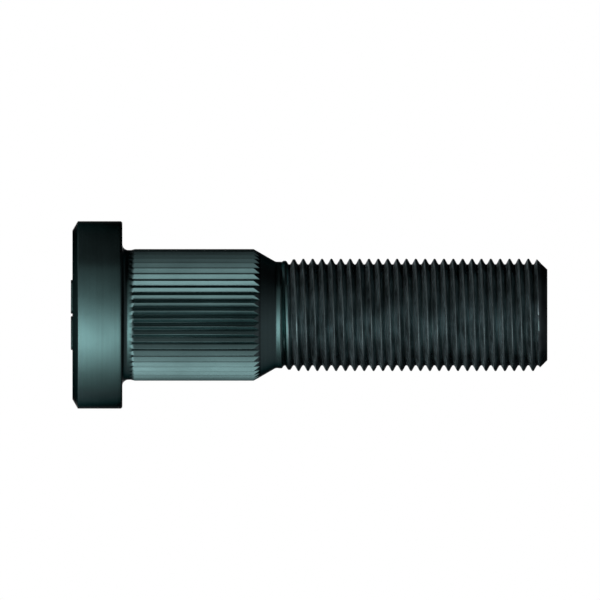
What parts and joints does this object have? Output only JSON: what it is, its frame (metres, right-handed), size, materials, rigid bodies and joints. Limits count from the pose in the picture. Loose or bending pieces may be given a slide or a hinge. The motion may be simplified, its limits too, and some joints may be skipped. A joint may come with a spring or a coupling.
{
  "type": "wheel bolt",
  "caption": "Press-in wheel bolt with a round head, a straight serrated shank and a fine-threaded end, in dark oxide-finished steel.",
  "frame": {"origin": "centre of the seat under the head, on the bolt's axis", "axes": "+Z along the bolt's axis, from the seat towards the threaded end; the bolt stands on its head"},
  "size_m": [0.03, 0.03, 0.0762],
  "materials": {
    "dark_steel": "satin"
  },
  "bodies": {
    "root": {"wheel_bolt": "dark_steel"}
  },
  "joints": []
}
